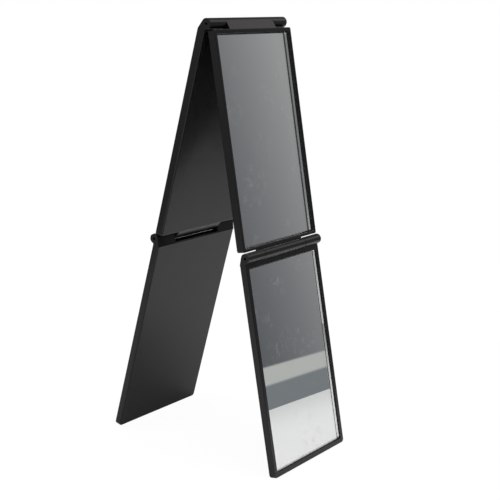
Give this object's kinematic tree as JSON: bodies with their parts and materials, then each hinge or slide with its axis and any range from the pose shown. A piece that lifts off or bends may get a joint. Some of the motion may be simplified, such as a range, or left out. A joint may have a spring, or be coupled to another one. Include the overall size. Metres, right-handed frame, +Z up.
{
  "type": "folding four-way mirror",
  "caption": "Folding mirror of equal framed panels hinged end to end, standing as a tall A-frame with mirrors on both sides.",
  "frame": {"origin": "midway between the two feet, on the surface that the object stands on, at the middle of its width", "axes": "+X along the hinges, to the right of someone who looks at the front mirrors; the front pair of mirrors faces -Y; +Z up"},
  "size_m": [0.14, 0.2344, 0.4848],
  "materials": {
    "frame": "satin black moulded plastic",
    "mirror": "silvered clear float glass with ground edges",
    "tape": "white foam tape",
    "pin": "plain drawn steel"
  },
  "bodies": {
    "upper_rear_panel": {"upper_rear_frame": "frame", "upper_rear_mirror": "mirror", "upper_rear_tape": "tape", "top_hinge_pin": "pin"},
    "upper_front_panel": {"upper_front_frame": "frame", "upper_front_mirror": "mirror", "upper_front_tape": "tape"},
    "lower_front_panel": {"lower_front_frame": "frame", "lower_front_mirror": "mirror", "lower_front_tape": "tape", "front_hinge_pin": "pin"},
    "lower_rear_panel": {"lower_rear_frame": "frame", "lower_rear_mirror": "mirror", "lower_rear_tape": "tape", "rear_hinge_pin": "pin"}
  },
  "joints": [
    {"name": "top_hinge", "type": "hinge", "parent": "upper_rear_panel", "child": "upper_front_panel", "pos_m": [0, 0, 0.47878], "axis": [-1, 0, 0], "range_deg": [-24.8, 155.2]},
    {"name": "front_hinge", "type": "hinge", "parent": "upper_front_panel", "child": "lower_front_panel", "pos_m": [0, -0.06359, 0.23751], "axis": [-1, 0, 0], "range_deg": [-0.5, 179.5]},
    {"name": "rear_hinge", "type": "hinge", "parent": "upper_rear_panel", "child": "lower_rear_panel", "pos_m": [0, 0.06359, 0.23751], "axis": [1, 0, 0], "range_deg": [-0.5, 179.5]}
  ]
}
